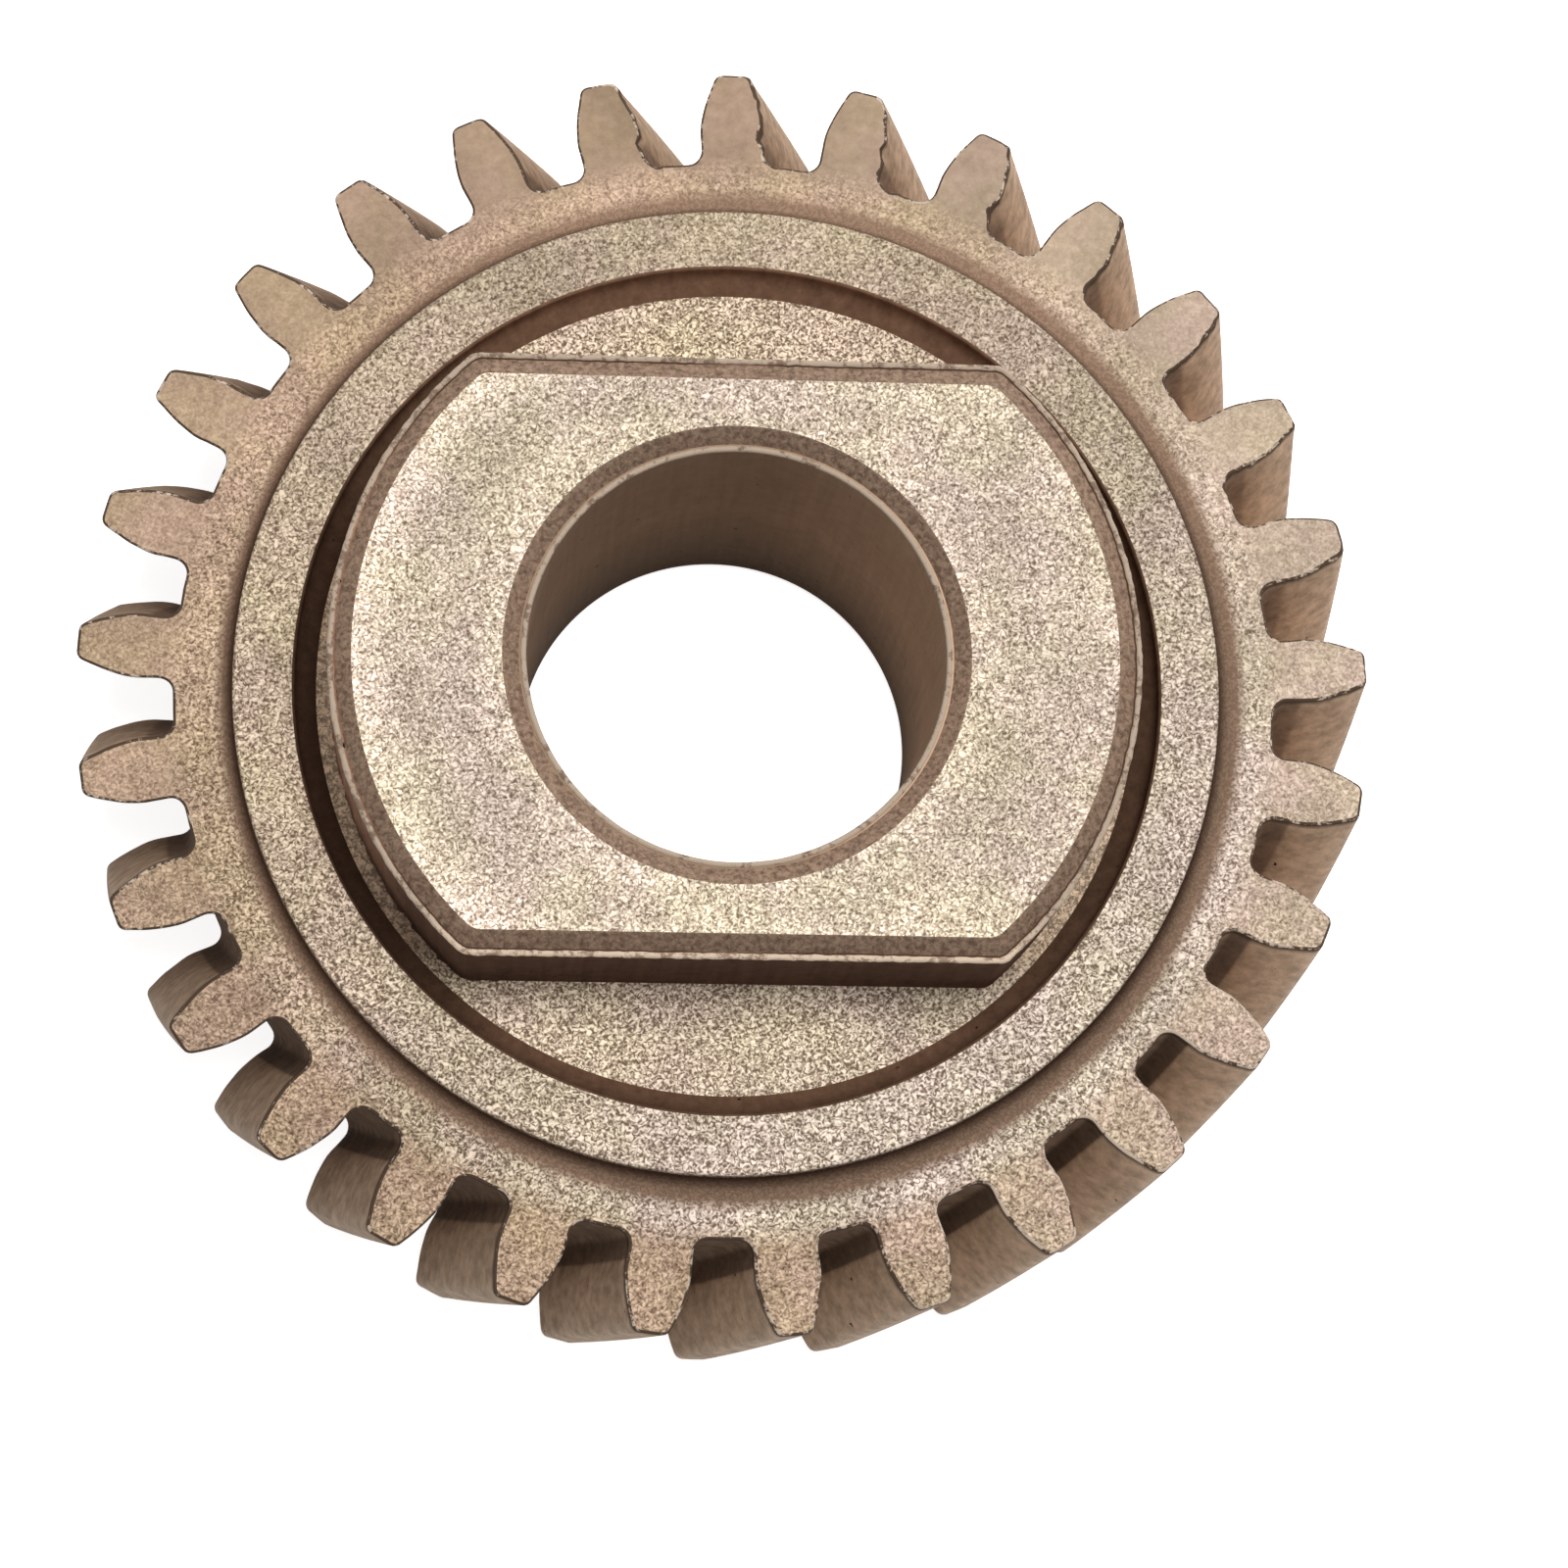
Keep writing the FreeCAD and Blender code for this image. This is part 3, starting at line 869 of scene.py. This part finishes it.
# Soft studio light: a pale sky and two broad lamps
light = {
    "sky": 0.22,
    "keyPlace": (0.04, 0.04, 0.42), "keySize": 0.20, "keyPower": 1.12,
    "sidePlace": (0.15, 0.29, 0.17), "sideSize": 0.24, "sidePower": 0.42,
    "aimedAt": (0, 0, 0.013),
}


def makeSky():
    world = bpy.data.worlds.new("paleSky")
    world.use_nodes = True
    bpy.context.scene.world = world
    tree = world.node_tree
    strength = spread(tree, seenDirectly(tree), 0.0, 1.0, light["sky"], 1.0)
    sky = tree.nodes["Background"]
    sky.inputs["Color"].default_value = (1, 1, 1, 1)
    tree.links.new(strength, sky.inputs["Strength"])


def makeLamp(name, place, size, power):
    lamp = bpy.data.lights.new(name, "AREA")
    lamp.shape, lamp.size, lamp.energy = "DISK", size, power
    holder = bpy.data.objects.new(name, lamp)
    holder.location = place
    holder.rotation_euler = (Vector(light["aimedAt"]) - Vector(place)).to_track_quat("-Z", "Y").to_euler()
    bpy.context.scene.collection.objects.link(holder)


makeSky()
makeLamp("keyLamp", light["keyPlace"], light["keySize"], light["keyPower"])
makeLamp("sideLamp", light["sidePlace"], light["sideSize"], light["sidePower"])

# The camera stands where the picture was taken from
view = {
    "standsAt": (-10.88, -41.888, 196.264),
    "looksAt": (2.357, -4.017, 12.8),
    "pictureTop": (-0.0188, 0.97945, 0.20083),
    "lens": 103.76,
    "sensor": 36.0,
    "clip": (0.01, 10.0),
}


def makeCamera():
    camera = bpy.data.cameras.new("camera")
    camera.lens, camera.sensor_width = view["lens"], view["sensor"]
    camera.clip_start, camera.clip_end = view["clip"]
    holder = bpy.data.objects.new("camera", camera)
    place, target = Vector(view["standsAt"]) * mm, Vector(view["looksAt"]) * mm
    back = (place - target).normalized()
    right = Vector(view["pictureTop"]).cross(back).normalized()
    top = back.cross(right)
    holder.matrix_world = Matrix.Translation(place) @ Matrix((right, top, back)).transposed().to_4x4()
    bpy.context.scene.collection.objects.link(holder)
    bpy.context.scene.camera = holder


makeCamera()
bpy.context.scene.view_settings.view_transform = "Standard"
print("stage set")
